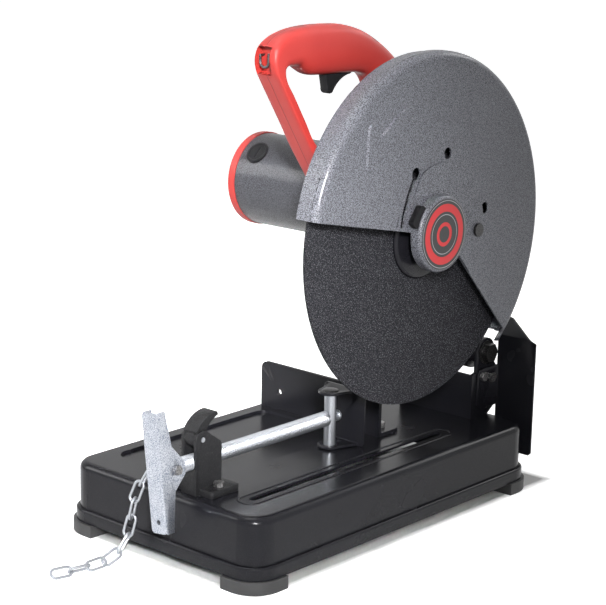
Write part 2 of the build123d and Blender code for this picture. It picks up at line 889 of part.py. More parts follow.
# ---------------------------------------------------------------- gears, armature and spindle
gear_teeth = 42
pinion_teeth = 8
addendum = 1.8
dedendum = 2.3
centre_line = Vector(motor_y - spindle_y, motor_z - spindle_z, 0)
mesh_angle = Vector(1, 0, 0).get_signed_angle(centre_line, Vector(0, 0, 1))
pitch_scale = centre_line.length / (gear_teeth + pinion_teeth)


def toothed_wheel(centre, teeth, first_angle):
    """Spur wheel outline with straight-sided teeth; module follows the centre distance."""
    pitch_radius = teeth * pitch_scale
    root = pitch_radius - dedendum
    tip = pitch_radius + addendum
    with BuildSketch() as tooth:
        with BuildLine():
            Polyline((root - 1, -1.9), (tip, -0.8), (tip, 0.8), (root - 1, 1.9), close=True)
        make_face()
    with BuildSketch() as wheel:
        with Locations(centre):
            Circle(root)
        with Locations(centre):
            with PolarLocations(0, teeth, start_angle=first_angle):
                add(tooth.sketch)
    return wheel.sketch


with BuildPart() as spindle_gear:
    with BuildSketch(facing_x(gear_x[0])):
        add(toothed_wheel((spindle_y, spindle_z), gear_teeth, mesh_angle + 180 / gear_teeth))
        with Locations((spindle_y, spindle_z)):
            Circle(8.5, mode=Mode.SUBTRACT)
    extrude(amount=span(gear_x))
write(spindle_gear.part, "spindle_gear")

with BuildPart() as armature:
    with BuildSketch(facing_x(gear_x[0] - 3)):
        add(toothed_wheel((motor_y, motor_z), pinion_teeth, mesh_angle + 180))
    extrude(amount=span(gear_x) + 6)
    for start, end, radius in ((-96, 41, 5.5), (-58, -6, 24), (-88, -70, 14), (-2, 8, 28)):
        with BuildSketch(facing_x(start)):
            with Locations((motor_y, motor_z)):
                Circle(radius)
        extrude(amount=end - start)
write(armature.part, "armature")

with BuildPart() as spindle_bearing:
    with BuildSketch(facing_x(gearbox_x[1] - housing_wall)):
        with Locations((spindle_y, spindle_z)):
            Circle(bearing_radius)
            Circle(8.5 + running_gap, mode=Mode.SUBTRACT)
    extrude(amount=housing_wall)
write(spindle_bearing.part, "spindle_bearing")

inner_flange_x = 79.2
wheel_back_x = wheel_x - wheel_thickness / 2
wheel_front_x = wheel_x + wheel_thickness / 2
with BuildPart() as spindle:
    for start, end, radius in ((22, inner_flange_x, 8.5), (inner_flange_x, wheel_front_x - 0.3, spindle_radius)):
        with BuildSketch(facing_x(start)):
            with Locations((spindle_y, spindle_z)):
                Circle(radius)
        extrude(amount=end - start)
    with BuildSketch(facing_x(wheel_front_x)):
        with Locations((spindle_y, spindle_z)):
            Circle(5)
    extrude(amount=-24, mode=Mode.SUBTRACT)
write(spindle.part, "spindle")


def wheel_flange(start, thickness, bore):
    """Clamping flange with a relieved inner face."""
    with BuildPart() as flange:
        with BuildSketch(facing_x(start)):
            with Locations((spindle_y, spindle_z)):
                Circle(flange_radius)
                Circle(bore, mode=Mode.SUBTRACT)
        extrude(amount=thickness)
    return flange


with BuildPart() as inner_flange:
    add(wheel_flange(inner_flange_x, wheel_back_x - inner_flange_x, spindle_radius).part)
write(inner_flange.part, "inner_flange")

outer_flange_x = wheel_front_x + 5
with BuildPart() as outer_flange:
    add(wheel_flange(wheel_front_x, 5, 5.2).part)
    chamfer(outer_flange.faces().sort_by(Axis.X)[-1].edges().sort_by(SortBy.LENGTH)[-1], 2.5)
write(outer_flange.part, "outer_flange")

with BuildPart() as abrasive_wheel:
    with BuildSketch(facing_x(wheel_back_x)):
        with Locations((spindle_y, spindle_z)):
            Circle(wheel_radius)
            Circle(spindle_radius, mode=Mode.SUBTRACT)
    extrude(amount=wheel_thickness)
write(abrasive_wheel.part, "abrasive_wheel")

with BuildPart() as wheel_bolt:
    with BuildSketch(facing_x(outer_flange_x)):
        with Locations((spindle_y, spindle_z)):
            Circle(13)
    extrude(amount=2)
    with BuildSketch(facing_x(outer_flange_x + 2)):
        with Locations((spindle_y, spindle_z)):
            RegularPolygon(10, 6)
    extrude(amount=7)
    with BuildSketch(facing_x(outer_flange_x)):
        with Locations((spindle_y, spindle_z)):
            Circle(4.95)
    extrude(amount=-26)
write(wheel_bolt.part, "wheel_bolt")


# ---------------------------------------------------------------- guard
guard_z = spindle_z + guard_lift
guard_axis = Axis((0, spindle_y, guard_z), (1, 0, 0))
section_plane = Plane(origin=(0, spindle_y, guard_z), x_dir=(1, 0, 0), z_dir=(0, -1, 0))


def guard_mouth():
    """Outline of the open part of the guard: below the front edge and in front of the rear edge."""
    apex = (spindle_y + guard_apex_offset, spindle_z)
    reach = 400.0
    front = radians(guard_front_angle)
    rear = radians(guard_rear_angle)
    with BuildSketch() as mouth:
        with BuildLine():
            Polyline(
                apex,
                (apex[0] + reach * cos(front), apex[1] + reach * sin(front)),
                (apex[0] - reach, apex[1] - reach),
                (apex[0] + reach * cos(rear), apex[1] + reach * sin(rear)),
                close=True,
            )
        make_face()
    return mouth.sketch


with BuildPart() as guard_rear:
    with BuildSketch(section_plane):
        with BuildLine():
            Polyline(
                (guard_back_x, 20),
                (guard_back_x, guard_radius),
                (guard_step_x, guard_radius),
                (guard_step_x, guard_radius - guard_sheet),
                (guard_back_x + guard_sheet, guard_radius - guard_sheet),
                (guard_back_x + guard_sheet, 20),
                close=True,
            )
        make_face()
    revolve(axis=guard_axis, revolution_arc=360)
    with BuildSketch(facing_x(guard_back_x - 1)):
        add(guard_mouth())
    extrude(amount=40, mode=Mode.SUBTRACT)
write(guard_rear.part, "guard_rear")

bead = 9.0
lap = 5.0
holes_radius = 89.0
hole_angles = (78.0, 14.0)
cover_pivot = (spindle_y + 73.0, spindle_z)
slot_radius = 127.5
slot_angles = (146.0, 171.0)
slot_gap = 5.0
keyhole_radius = 6.5


with BuildPart() as guard_front:
    with BuildSketch(section_plane):
        outer = guard_radius + guard_sheet
        inner = guard_radius
        with BuildLine():
            g1 = Line((guard_step_x - lap, inner), (guard_step_x - lap, outer))
            g2 = Line(g1 @ 1, (guard_face_x - bead, outer))
            g3 = RadiusArc(g2 @ 1, (guard_face_x, outer - bead), bead)
            g4 = Polyline(g3 @ 1, (guard_face_x, 46), (guard_face_x - guard_sheet, 46))
            g5 = Line(g4 @ 1, (guard_face_x - guard_sheet, outer - bead))
            g6 = RadiusArc(g5 @ 1, (guard_face_x - bead, inner), -(bead - guard_sheet))
            Line(g6 @ 1, g1 @ 0)
        make_face()
    revolve(axis=guard_axis, revolution_arc=360)
    with BuildSketch(facing_x(guard_back_x - 1)):
        add(guard_mouth())
    extrude(amount=40, mode=Mode.SUBTRACT)
    with BuildSketch(facing_x(guard_face_x)):
        for angle in hole_angles:
            with Locations(around((spindle_y, spindle_z), holes_radius, angle)):
                Circle(6)
        with BuildLine():
            slot_path = CenterArc(cover_pivot, slot_radius, slot_angles[0], span(slot_angles))
        SlotArc(slot_path.edge(), slot_gap)
        with Locations(around(cover_pivot, slot_radius, slot_angles[0])):
            Circle(keyhole_radius)
        with Locations(cover_pivot):
            Circle(3 + bolt_gap)
    extrude(amount=-guard_sheet - 1, mode=Mode.SUBTRACT)
write(guard_front.part, "guard_front")

cover_sheet = 1.5
cover_lift = 0.05
cover_face_x = guard_face_x + cover_lift + cover_sheet
write(
    screw_along(facing_x(cover_face_x + cover_lift), [cover_pivot], 3, 6, 7, 3, hexagon=False),
    "guard_screws",
)

# ---------------------------------------------------------------- access cover
cover_centre = (79.0, 305.0)
cover_radius = 73.0
boss_centre = (71.0, 306.0)
boss_radius = 40.0
boss_depth = 12.0
latch_place = (34.5, 328.0)
latch_angle = 51.0
with BuildPart() as centre_cover:
    with BuildSketch(facing_x(guard_face_x + cover_lift)):
        with Locations(cover_centre):
            Circle(cover_radius)
        add(guard_mouth(), mode=Mode.SUBTRACT)
        with BuildLine():
            slot_side = CenterArc(cover_pivot, slot_radius, slot_angles[0] - 8, span(slot_angles) + 12)
        SlotArc(slot_side.edge(), 16, mode=Mode.SUBTRACT)
        with Locations(boss_centre):
            Circle(boss_radius)
        with Locations(latch_place):
            Circle(10)
        with Locations(cover_pivot):
            Circle(3 + bolt_gap, mode=Mode.SUBTRACT)
    extrude(amount=cover_sheet)
    with BuildSketch(facing_x(guard_face_x + cover_lift)):
        with Locations(boss_centre):
            Circle(boss_radius)
    extrude(amount=boss_depth)
    fillet(centre_cover.faces().sort_by(Axis.X)[-1].edges(), 4)
    with BuildSketch(facing_x(guard_face_x + cover_lift)):
        with Locations(boss_centre):
            Circle(boss_radius - cover_sheet)
    extrude(amount=boss_depth - cover_sheet - 1, mode=Mode.SUBTRACT)
write(centre_cover.part, "centre_cover")

with BuildPart() as cover_latch:
    with BuildSketch(facing_x(cover_face_x)):
        with Locations(Location((latch_place[0], latch_place[1], 0), latch_angle)):
            RectangleRounded(24, 11, 4)
        with Locations(boss_centre):
            Circle(boss_radius, mode=Mode.SUBTRACT)
    extrude(amount=7)
write(cover_latch.part, "cover_latch")


# ---------------------------------------------------------------- handle
def finger_opening():
    """Opening for the fingers between the grip, the front strut and the housing."""
    with BuildSketch() as opening:
        with BuildLine():
            Polyline(
                (-79, 453), (-90, 467), (-90, 480), (-65, 479), (-54, 469),
                (32, 468), (46, 456), (66, 396), (-20, 398), (-46, 402),
                close=True,
            )
        make_face()
        fillet(opening.vertices(), 4)
    return opening.sketch


def handle_outline():
    """Side view of the D handle: front strut, nose, grip and rear foot."""
    with BuildSketch() as side_view:
        with BuildLine():
            Polyline(
                (-2, 320), (-109, 480), (-109.5, 500), (-76, 516), (-40, 519),
                (0, 517.5), (32, 509), (88, 474), (113, 440), (119, 392), (119, 350), (90, 330),
                close=True,
            )
        make_face()
        nose = side_view.vertices().sort_by(Axis.X)[0]
        fillet(nose, 12)
        corners = side_view.vertices().filter_by(lambda corner: corner.Y > 400)
        bends = corners.filter_by(lambda corner: corner.X > -80 or corner.Y < 485)
        fillet(bends, 40)
    return side_view.sketch


def handle_pocket(side, depth, centre, width, height):
    """Pocket cut from the parting plane into one half of the handle."""
    with BuildPart() as pocket:
        with BuildSketch(facing_x(handle_x)):
            with Locations(centre):
                Rectangle(width, height)
        extrude(amount=side * depth)
    return pocket.part


trigger_width = 10.0
pocket_margin = 0.4
nose_pocket = {-1: 13.0, 1: 7.0}
lock_place = (-8.0, 491.0)


def handle_half(side):
    """One moulded half of the handle, side -1 for the left and +1 for the right."""
    half = handle_width / 2
    with BuildPart() as shell:
        with BuildSketch(facing_x(handle_x)):
            add(handle_outline())
            add(finger_opening(), mode=Mode.SUBTRACT)
        extrude(amount=side * half)
        outer = shell.faces().sort_by(Axis.X)[0 if side < 0 else -1]
        fillet(outer.outer_wire().edges(), handle_round)
        inner = shell.faces().sort_by(Axis.X)[0 if side < 0 else -1].inner_wires()[0]
        fillet(inner.edges(), opening_round)
        with BuildSketch(facing_x(handle_x)):
            add(housing_hull(0))
        extrude(amount=side * half, mode=Mode.SUBTRACT)
        add(handle_pocket(side, trigger_width / 2 + pocket_margin, (-1.0, 474.0), 57, 36), mode=Mode.SUBTRACT)
        add(handle_pocket(side, nose_pocket[side], (-118.5, 487.0), 40, 26), mode=Mode.SUBTRACT)
        if side < 0:
            with BuildSketch(facing_x(handle_x - half)):
                with Locations(lock_place):
                    Circle(5 + running_gap)
            extrude(amount=half, mode=Mode.SUBTRACT)
    return shell.part


write(handle_half(-1), "handle_left")
write(handle_half(1), "handle_right")

hook_wire = 1.2
hook_x = (handle_x - 9.5, handle_x + 1.5)
hook_y = -103.5
hook_z = (486.0, 492.0)
with BuildPart() as chain_hook:
    with BuildLine() as hook_line:
        k1 = Line((hook_x[0], -98.6, hook_z[1]), (hook_x[0], hook_y, hook_z[1]))
        k2 = Line(k1 @ 1, (hook_x[0], hook_y, hook_z[0]))
        k3 = ThreePointArc(
            k2 @ 1, (middle(hook_x), hook_y, hook_z[0] - span(hook_x) / 2), (hook_x[1], hook_y, hook_z[0])
        )
        Line(k3 @ 1, (hook_x[1], hook_y, hook_z[1] + 2))
    with BuildSketch(Plane(origin=k1 @ 0, z_dir=k1 % 0)):
        Circle(hook_wire)
    sweep(path=hook_line.wire(), transition=Transition.RIGHT)
write(chain_hook.part, "chain_hook")

with BuildPart() as trigger:
    with BuildSketch(facing_x(handle_x - trigger_width / 2)):
        with BuildLine():
            t1 = Polyline((-25, 483), (-24, 470), (-20.5, 455))
            t2 = ThreePointArc(t1 @ 1, (-17, 449), (-12, 450))
            t3 = ThreePointArc(t2 @ 1, (-2, 460.5), (15, 466.5))
            Polyline(t3 @ 1, (23, 472), (23, 483), (-25, 483))
        make_face()
    extrude(amount=trigger_width)
write(trigger.part, "trigger")

lock_radius = 5.0
with BuildPart() as lock_button:
    with BuildSketch(facing_x(handle_x - handle_width / 2 - 3)):
        with Locations(lock_place):
            Circle(lock_radius)
    extrude(amount=8)
write(lock_button.part, "lock_button")

with BuildPart() as spindle_lock:
    with BuildSketch(facing_x(gearbox_x[0] - 9)):
        with Locations((92.0, 283.0)):
            Circle(6)
    extrude(amount=16)
    with BuildSketch(facing_x(gearbox_x[0] - 9)):
        with Locations((92.0, 283.0)):
            Circle(9)
    extrude(amount=3)
write(spindle_lock.part, "spindle_lock")
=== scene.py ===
"""Looks of the abrasive chop saw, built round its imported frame. Metres, +Z up, +X to the wheel side."""

import json
from math import cos, radians, sin

import bmesh
import bpy
import numpy as np
from mathutils import Matrix, Vector


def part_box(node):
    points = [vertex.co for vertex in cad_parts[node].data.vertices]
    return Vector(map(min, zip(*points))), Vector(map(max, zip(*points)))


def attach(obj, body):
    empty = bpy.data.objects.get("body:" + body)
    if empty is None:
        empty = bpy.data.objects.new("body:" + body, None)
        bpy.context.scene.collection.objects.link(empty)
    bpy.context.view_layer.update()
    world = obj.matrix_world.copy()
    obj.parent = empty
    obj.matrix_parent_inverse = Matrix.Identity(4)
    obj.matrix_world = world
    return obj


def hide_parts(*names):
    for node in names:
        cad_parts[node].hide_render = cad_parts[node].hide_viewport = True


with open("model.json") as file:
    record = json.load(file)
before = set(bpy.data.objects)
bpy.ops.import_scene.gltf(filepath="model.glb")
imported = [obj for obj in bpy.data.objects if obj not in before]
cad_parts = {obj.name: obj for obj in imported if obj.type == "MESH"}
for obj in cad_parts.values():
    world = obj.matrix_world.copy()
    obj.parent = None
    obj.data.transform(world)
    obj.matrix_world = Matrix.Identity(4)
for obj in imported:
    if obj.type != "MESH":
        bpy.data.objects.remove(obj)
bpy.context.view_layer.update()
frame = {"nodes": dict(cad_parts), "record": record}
nodes = frame["nodes"]
MM = 0.001
body_of = {
    node: body for body, members in frame["record"]["behaviour"]["bodies"].items() for node in members
}
slot_of = {part["node"]: part["material_slot"] for part in frame["record"]["subparts"]}


# ---------------------------------------------------------------- places taken from the frame
wheel_low, wheel_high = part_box("abrasive_wheel")
wheel_centre = (wheel_low + wheel_high) / 2
guard_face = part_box("guard_front")[1].x
hub_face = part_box("centre_cover")[1].x
handle_middle = (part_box("handle_left")[0].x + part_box("handle_right")[1].x) / 2


# ---------------------------------------------------------------- camera
camera_azimuth = radians(41.53)
camera_elevation = radians(13.80)
camera_roll = radians(1.17)
camera_distance = 1.90635
camera_target = Vector((-0.01188, 0.0, 0.22346))
focal_in_widths = 2.9966
film_width = 36.0


def place_camera():
    """A camera that looks at the target from azimuth and elevation, turned about its axis by the roll."""
    back = Vector(
        (
            sin(camera_azimuth) * cos(camera_elevation),
            -cos(camera_azimuth) * cos(camera_elevation),
            sin(camera_elevation),
        )
    )
    level_right = Vector((cos(camera_azimuth), sin(camera_azimuth), 0.0))
    level_up = back.cross(level_right)
    right = level_right * cos(camera_roll) + level_up * sin(camera_roll)
    up = level_up * cos(camera_roll) - level_right * sin(camera_roll)
    camera = bpy.data.objects.new("camera", bpy.data.cameras.new("camera"))
    camera.data.sensor_width = film_width
    camera.data.lens = film_width * focal_in_widths
    camera.matrix_world = Matrix.Translation(camera_target + back * camera_distance) @ Matrix(
        (right, up, back)
    ).transposed().to_4x4()
    bpy.context.scene.collection.objects.link(camera)
    bpy.context.scene.camera = camera


place_camera()


# ---------------------------------------------------------------- material helpers
class Finish:
    """A material under construction: its node tree, its shader and the object coordinates it reads."""

    def __init__(self, name, colour, roughness, metallic=0.0, **sockets):
        self.material = bpy.data.materials.new(name)
        self.material.use_nodes = True
        self.tree = self.material.node_tree
        self.shader = self.tree.nodes["Principled BSDF"]
        self.shader.inputs["Base Color"].default_value = (*colour, 1.0)
        self.shader.inputs["Roughness"].default_value = roughness
        self.shader.inputs["Metallic"].default_value = metallic
        for socket, value in sockets.items():
            self.shader.inputs[socket.replace("_", " ")].default_value = value
        self.place = self.node("ShaderNodeTexCoord").outputs["Object"]

    def node(self, kind, settings=None, **inputs):
        """A new node with its settings, and with each named input linked or set."""
        made = self.tree.nodes.new(kind)
        for key, value in (settings or {}).items():
            setattr(made, key, value)
        for key, value in inputs.items():
            socket = made.inputs[key.replace("_", " ")]
            if isinstance(value, bpy.types.NodeSocket):
                self.tree.links.new(value, socket)
            else:
                socket.default_value = value
        return made

    def noise(self, scale, detail=2.0, roughness=0.5, stretch=None):
        """Noise value with features about 1/scale metres wide, stretched along an axis if asked."""
        place = self.place
        if stretch:
            place = self.node("ShaderNodeMapping", Vector=place, Scale=stretch).outputs["Vector"]
        made = self.node("ShaderNodeTexNoise", Vector=place, Scale=scale, Detail=detail, Roughness=roughness)
        return made.outputs["Fac"]

    def cells(self, scale, feature="F1", spread=1.0):
        """Distance to the nearest of scattered points about 1/scale metres apart."""
        made = self.node(
            "ShaderNodeTexVoronoi", {"feature": feature}, Vector=self.place, Scale=scale, Randomness=spread
        )
        return made.outputs["Distance"]

    def remap(self, value, low, high, new_low=0.0, new_high=1.0):
        """A value taken from one span to another, held at the ends."""
        made = self.node("ShaderNodeMapRange", Value=value)
        for key, number in zip(("From Min", "From Max", "To Min", "To Max"), (low, high, new_low, new_high)):
            made.inputs[key].default_value = number
        return made.outputs["Result"]

    def sum_of(self, first, second, operation="ADD"):
        """Two values put together by one sum."""
        made = self.tree.nodes.new("ShaderNodeMath")
        made.operation = operation
        for socket, value in zip(made.inputs, (first, second)):
            if isinstance(value, bpy.types.NodeSocket):
                self.tree.links.new(value, socket)
            else:
                socket.default_value = value
        return made.outputs["Value"]

    def blend(self, factor, first, second):
        """Colour between two colours."""
        made = self.node("ShaderNodeMix", {"data_type": "RGBA"})
        for index, value in ((0, factor), (6, first), (7, second)):
            if isinstance(value, bpy.types.NodeSocket):
                self.tree.links.new(value, made.inputs[index])
            else:
                made.inputs[index].default_value = (*value, 1.0) if isinstance(value, tuple) else value
        return made.outputs[2]

    def set(self, socket, value):
        """Links a value to one of the shader's sockets."""
        self.tree.links.new(value, self.shader.inputs[socket])

    def bump(self, height, strength, distance):
        """Raises the surface by a height, one bump on top of the last."""
        made = self.node("ShaderNodeBump", Height=height, Strength=strength, Distance=distance)
        socket = self.shader.inputs["Normal"]
        if socket.links:
            self.tree.links.new(socket.links[0].from_socket, made.inputs["Normal"])
        self.tree.links.new(made.outputs["Normal"], socket)


def shaded(colour, shade):
    """Colour with each part multiplied by the shade."""
    return tuple(part * shade for part in colour)


# ---------------------------------------------------------------- materials
def hammertone_paint(name="hammertone_paint", shade=1.0):
    """Grey hammered enamel: dimples about a millimetre wide with darker rims, and fine metal flake."""
    lacquer = {"Specular_IOR_Level": 0.15, "Coat_Weight": 0.35, "Coat_Roughness": 0.17}
    paint = Finish(name, (0.08, 0.08, 0.09), 0.36, **lacquer)
    dimples = paint.noise(950.0, 3.0, 0.7)
    flake = paint.cells(1300.0)
    cloud = paint.noise(9.0, 2.0)
    tone = paint.remap(dimples, 0.38, 0.62)
    deep = paint.blend(cloud, (0.012, 0.012, 0.015), (0.020, 0.020, 0.024))
    # A shade below one darkens the light tone, which makes a painted-shade copy of the same paint.
    bright = paint.blend(cloud, shaded((0.185, 0.190, 0.218), shade), shaded((0.225, 0.231, 0.262), shade))
    paint.set("Base Color", paint.blend(tone, deep, bright))
    paint.set("Roughness", paint.remap(flake, 0.1, 0.6, 0.34, 0.50))
    paint.bump(dimples, 0.45, 0.0005)
    paint.bump(flake, 0.10, 0.0002)
    return paint.material


def gloss_black_paint():
    """Black stoving enamel over pressed steel, with a slight orange peel and faint handling marks."""
    paint = Finish("gloss_black_paint", (0.012, 0.012, 0.014), 0.3, Specular_IOR_Level=0.16)
    peel = paint.noise(260.0, 2.0)
    cloud = paint.noise(14.0, 3.0)
    dust = paint.noise(1500.0, 2.0, 0.7)
    base = paint.blend(cloud, (0.006, 0.006, 0.008), (0.012, 0.012, 0.015))
    paint.set("Base Color", paint.blend(paint.remap(dust, 0.55, 0.8, 0.0, 0.5), base, (0.04, 0.04, 0.044)))
    paint.set("Roughness", paint.remap(cloud, 0.3, 0.7, 0.18, 0.28))
    paint.bump(peel, 0.10, 0.0004)
    return paint.material


def cast_iron_paint():
    """Black paint over rough cast iron, worn grey on the high grains."""
    paint = Finish("cast_iron_paint", (0.01, 0.01, 0.011), 0.5, Specular_IOR_Level=0.2)
    grain = paint.noise(1100.0, 3.0, 0.65)
    lumps = paint.noise(240.0, 3.0, 0.6)
    base = paint.blend(lumps, (0.006, 0.006, 0.007), (0.016, 0.016, 0.017))
    paint.set("Base Color", paint.blend(paint.remap(grain, 0.60, 0.76), base, (0.10, 0.10, 0.105)))
    paint.set("Roughness", paint.remap(grain, 0.3, 0.7, 0.35, 0.6))
    paint.bump(lumps, 0.5, 0.0011)
    paint.bump(grain, 0.5, 0.0005)
    return paint.material


def foot_rubber():
    """Dark grey moulded rubber."""
    rubber = Finish("foot_rubber", (0.028, 0.028, 0.029), 0.62)
    grain = rubber.noise(700.0, 3.0, 0.6)
    dust = rubber.noise(35.0, 3.0)
    rubber.set("Base Color", rubber.blend(dust, (0.018, 0.018, 0.019), (0.045, 0.045, 0.046)))
    rubber.bump(grain, 0.25, 0.0005)
    return rubber.material


def red_plastic(name="red_plastic", seam_x=None):
    """Red nylon with a fine sparked grain, and a dark parting line across X where two halves meet."""
    plastic = Finish(name, (0.62, 0.028, 0.022), 0.42, Specular_IOR_Level=0.4)
    grain = plastic.noise(1900.0, 2.0, 0.6)
    tone = plastic.noise(18.0, 2.0)
    red = plastic.blend(tone, (0.34, 0.022, 0.020), (0.44, 0.042, 0.034))
    if seam_x is not None:
        across = plastic.node("ShaderNodeSeparateXYZ", Vector=plastic.place).outputs["X"]
        away = plastic.sum_of(plastic.sum_of(across, seam_x, "SUBTRACT"), 0.0, "ABSOLUTE")
        seam = plastic.remap(away, 0.00025, 0.0007, 1.0, 0.0)
        red = plastic.blend(seam, red, (0.20, 0.006, 0.006))
        plastic.bump(plastic.sum_of(1.0, seam, "SUBTRACT"), 0.6, 0.0006)
    plastic.set("Base Color", red)
    plastic.set("Roughness", plastic.remap(grain, 0.3, 0.7, 0.36, 0.5))
    plastic.bump(grain, 0.22, 0.0002)
    return plastic.material


def black_plastic():
    """Black nylon with a fine sparked grain."""
    plastic = Finish("black_plastic", (0.014, 0.014, 0.015), 0.45, Specular_IOR_Level=0.12)
    grain = plastic.noise(1700.0, 2.0, 0.6)
    tone = plastic.noise(60.0, 2.0)
    plastic.set("Base Color", plastic.blend(tone, (0.006, 0.006, 0.007), (0.015, 0.015, 0.016)))
    plastic.set("Roughness", plastic.remap(grain, 0.3, 0.7, 0.36, 0.55))
    plastic.bump(grain, 0.3, 0.0002)
    return plastic.material


def zinc_plate(name="zinc_plate", shade=1.0, flake=1.0):
    """Bright zinc plating with a fine spangle about a millimetre wide."""
    zinc = Finish(name, shaded((0.66, 0.68, 0.71), shade), 0.3, 0.9)
    spangle = zinc.cells(900.0)
    cloud = zinc.noise(50.0, 2.0)
    light = shaded((0.66, 0.68, 0.72), shade)
    dark = shaded((0.26, 0.29, 0.36), shade)
    fleck = zinc.sum_of(zinc.remap(spangle, 0.1, 0.7), zinc.remap(cloud, 0.2, 0.8, 0.35, 0.6), "MULTIPLY")
    zinc.set("Base Color", zinc.blend(zinc.remap(fleck, 0.1, 0.5, 0.0, flake), light, dark))
    zinc.set("Roughness", zinc.remap(spangle, 0.0, 0.8, 0.24, 0.40))
    zinc.bump(spangle, 0.08, 0.0002)
    return zinc.material


def dark_steel(name="dark_steel", shade=1.0):
    """Bolt steel with a dull passivated plating, darker in the recesses of its fine grain."""
    steel = Finish(name, (0.25, 0.25, 0.25), 0.34, 0.9)
    rubbed = steel.noise(700.0, 3.0, 0.6)
    worn = shaded((0.42, 0.41, 0.40), shade)
    dull = shaded((0.13, 0.13, 0.135), shade)
    steel.set("Base Color", steel.blend(steel.remap(rubbed, 0.4, 0.7), dull, worn))
    steel.set("Roughness", steel.remap(rubbed, 0.3, 0.7, 0.26, 0.45))
    steel.bump(rubbed, 0.10, 0.0002)
    return steel.material


def spring_steel():
    """Oiled dark spring wire."""
    steel = Finish("spring_steel", (0.12, 0.12, 0.125), 0.3, 1.0)
    drawn = steel.noise(800.0, 2.0)
    steel.set("Roughness", steel.remap(drawn, 0.3, 0.7, 0.22, 0.42))
    steel.set("Base Color", steel.blend(drawn, (0.07, 0.07, 0.075), (0.2, 0.2, 0.21)))
    return steel.material


def abrasive_grit():
    """Resin-bonded grit: black binder with grey grains about a millimetre wide."""
    grit = Finish("abrasive_grit", (0.04, 0.04, 0.045), 0.75, Specular_IOR_Level=0.12)
    coarse = grit.noise(760.0, 3.0, 0.75)
    fine = grit.cells(800.0)
    wear = grit.noise(30.0, 3.0)
    speck = grit.remap(grit.sum_of(grit.remap(fine, 0.05, 0.5, 1.0, 0.5), coarse, "MULTIPLY"), 0.30, 0.58)
    base = grit.blend(wear, (0.006, 0.006, 0.008), (0.012, 0.012, 0.015))
    grit.set("Base Color", grit.blend(speck, base, (0.26, 0.26, 0.285)))
    grit.set("Roughness", grit.remap(speck, 0.0, 1.0, 0.55, 0.85))
    grit.bump(coarse, 0.8, 0.0010)
    grit.bump(fine, 0.5, 0.0004)
    return grit.material


hub_radius = 0.0365
hub_centre = (hub_face, 0.071, 0.306)
ring_grey = (0.30, 0.30, 0.31)
ring_red = (0.50, 0.016, 0.020)
hub_rings = (
    (0.0345, 0.0352, ring_grey),
    (0.0235, 0.0315, ring_red),
    (0.0200, 0.0208, ring_grey),
    (0.0085, 0.0125, ring_red),
)
ring_edge = 0.0001


def ringed_disc():
    """Printed hub disc: black, with thin grey rings and two red rings, about its own centre."""
    print_ink = Finish("ringed_disc", (0.012, 0.012, 0.013), 0.38)
    centred = print_ink.node("ShaderNodeMapping", Vector=print_ink.place)
    centred.inputs["Location"].default_value = (0.0, -hub_centre[1], -hub_centre[2])
    centred.inputs["Scale"].default_value = (0.0, 1.0, 1.0)
    reach = print_ink.node("ShaderNodeVectorMath", {"operation": "LENGTH"}, Vector=centred.outputs["Vector"])
    distance = reach.outputs["Value"]
    ink = (0.012, 0.012, 0.013)
    for start, end, colour in hub_rings:
        after = print_ink.remap(distance, start - ring_edge, start + ring_edge)
        before = print_ink.remap(distance, end - ring_edge, end + ring_edge, 1.0, 0.0)
        ink = print_ink.blend(print_ink.sum_of(after, before, "MULTIPLY"), ink, colour)
    print_ink.set("Base Color", ink)
    grain = print_ink.noise(900.0, 2.0)
    print_ink.set("Roughness", print_ink.remap(grain, 0.3, 0.7, 0.32, 0.44))
    print_ink.bump(grain, 0.05, 0.0001)
    return print_ink.material


def motor_iron():
    """Laminated motor iron and copper, seen only through the vents."""
    iron = Finish("motor_iron", (0.16, 0.13, 0.11), 0.5, 0.8)
    layers = iron.noise(900.0, 1.0, stretch=(1.0, 0.02, 0.02))
    iron.set("Base Color", iron.blend(layers, (0.07, 0.065, 0.06), (0.3, 0.2, 0.13)))
    iron.bump(layers, 0.4, 0.0004)
    return iron.material


black_enamel = gloss_black_paint()
finishes = {
    "black_paint": black_enamel,
    "black_casting": cast_iron_paint(),
    "rubber": foot_rubber(),
    "dark_bolt": dark_steel(),
    "bright_steel": zinc_plate("bright_steel", 0.72, 0.3),
    "spring_steel": spring_steel(),
    "zinc_sheet": zinc_plate("zinc_sheet"),
    "grey_hammertone": hammertone_paint(),
    "red_plastic": red_plastic(),
    "black_plastic": black_plastic(),
    "flange_black": black_enamel,
    "abrasive": abrasive_grit(),
    "motor_iron": motor_iron(),
}

# Darker copy of the guard's hammertone for the motor and gear housings, which carry the same paint: painted
# shade.
hammertone_painted_shade = hammertone_paint("hammertone_painted_shade", 0.35)
black_steel = dark_steel("black_steel", 0.22)
# Finishes by part: black steel for the bolts and pivot, and the painted-shade hammertone for the housings.
part_finishes_and_shade = {
    "motor_housing": hammertone_painted_shade,
    "gear_housing": hammertone_painted_shade,
    "pivot_shaft": black_steel,
    "bracket_bolts": black_steel,
    "guard_screws": black_steel,
}

for node, slot_name in slot_of.items():
    mesh = nodes[node].data
    mesh.materials.clear()
    mesh.materials.append(part_finishes_and_shade.get(node, finishes[slot_name]))


# ---------------------------------------------------------------- making of pieces
weld_distance = 2e-6
flat_angle = radians(0.6)
edge_angle = radians(32.0)
sheet_edge_angle = radians(30.0)
sharp_angle = radians(42.0)


def surface(points, close_rows=False, close_columns=False):
    """Vertices and quads of a grid of points (rows, columns, 3), joined round where it closes."""
    rows, columns = points.shape[:2]
    row = np.arange(rows if close_rows else rows - 1)
    column = np.arange(columns if close_columns else columns - 1)
    r, c = np.meshgrid(row, column, indexing="ij")
    r_next = (r + 1) % rows
    c_next = (c + 1) % columns
    quads = np.stack(
        (r * columns + c, r * columns + c_next, r_next * columns + c_next, r_next * columns + c), axis=-1
    )
    return points.reshape(-1, 3), quads.reshape(-1, 4)


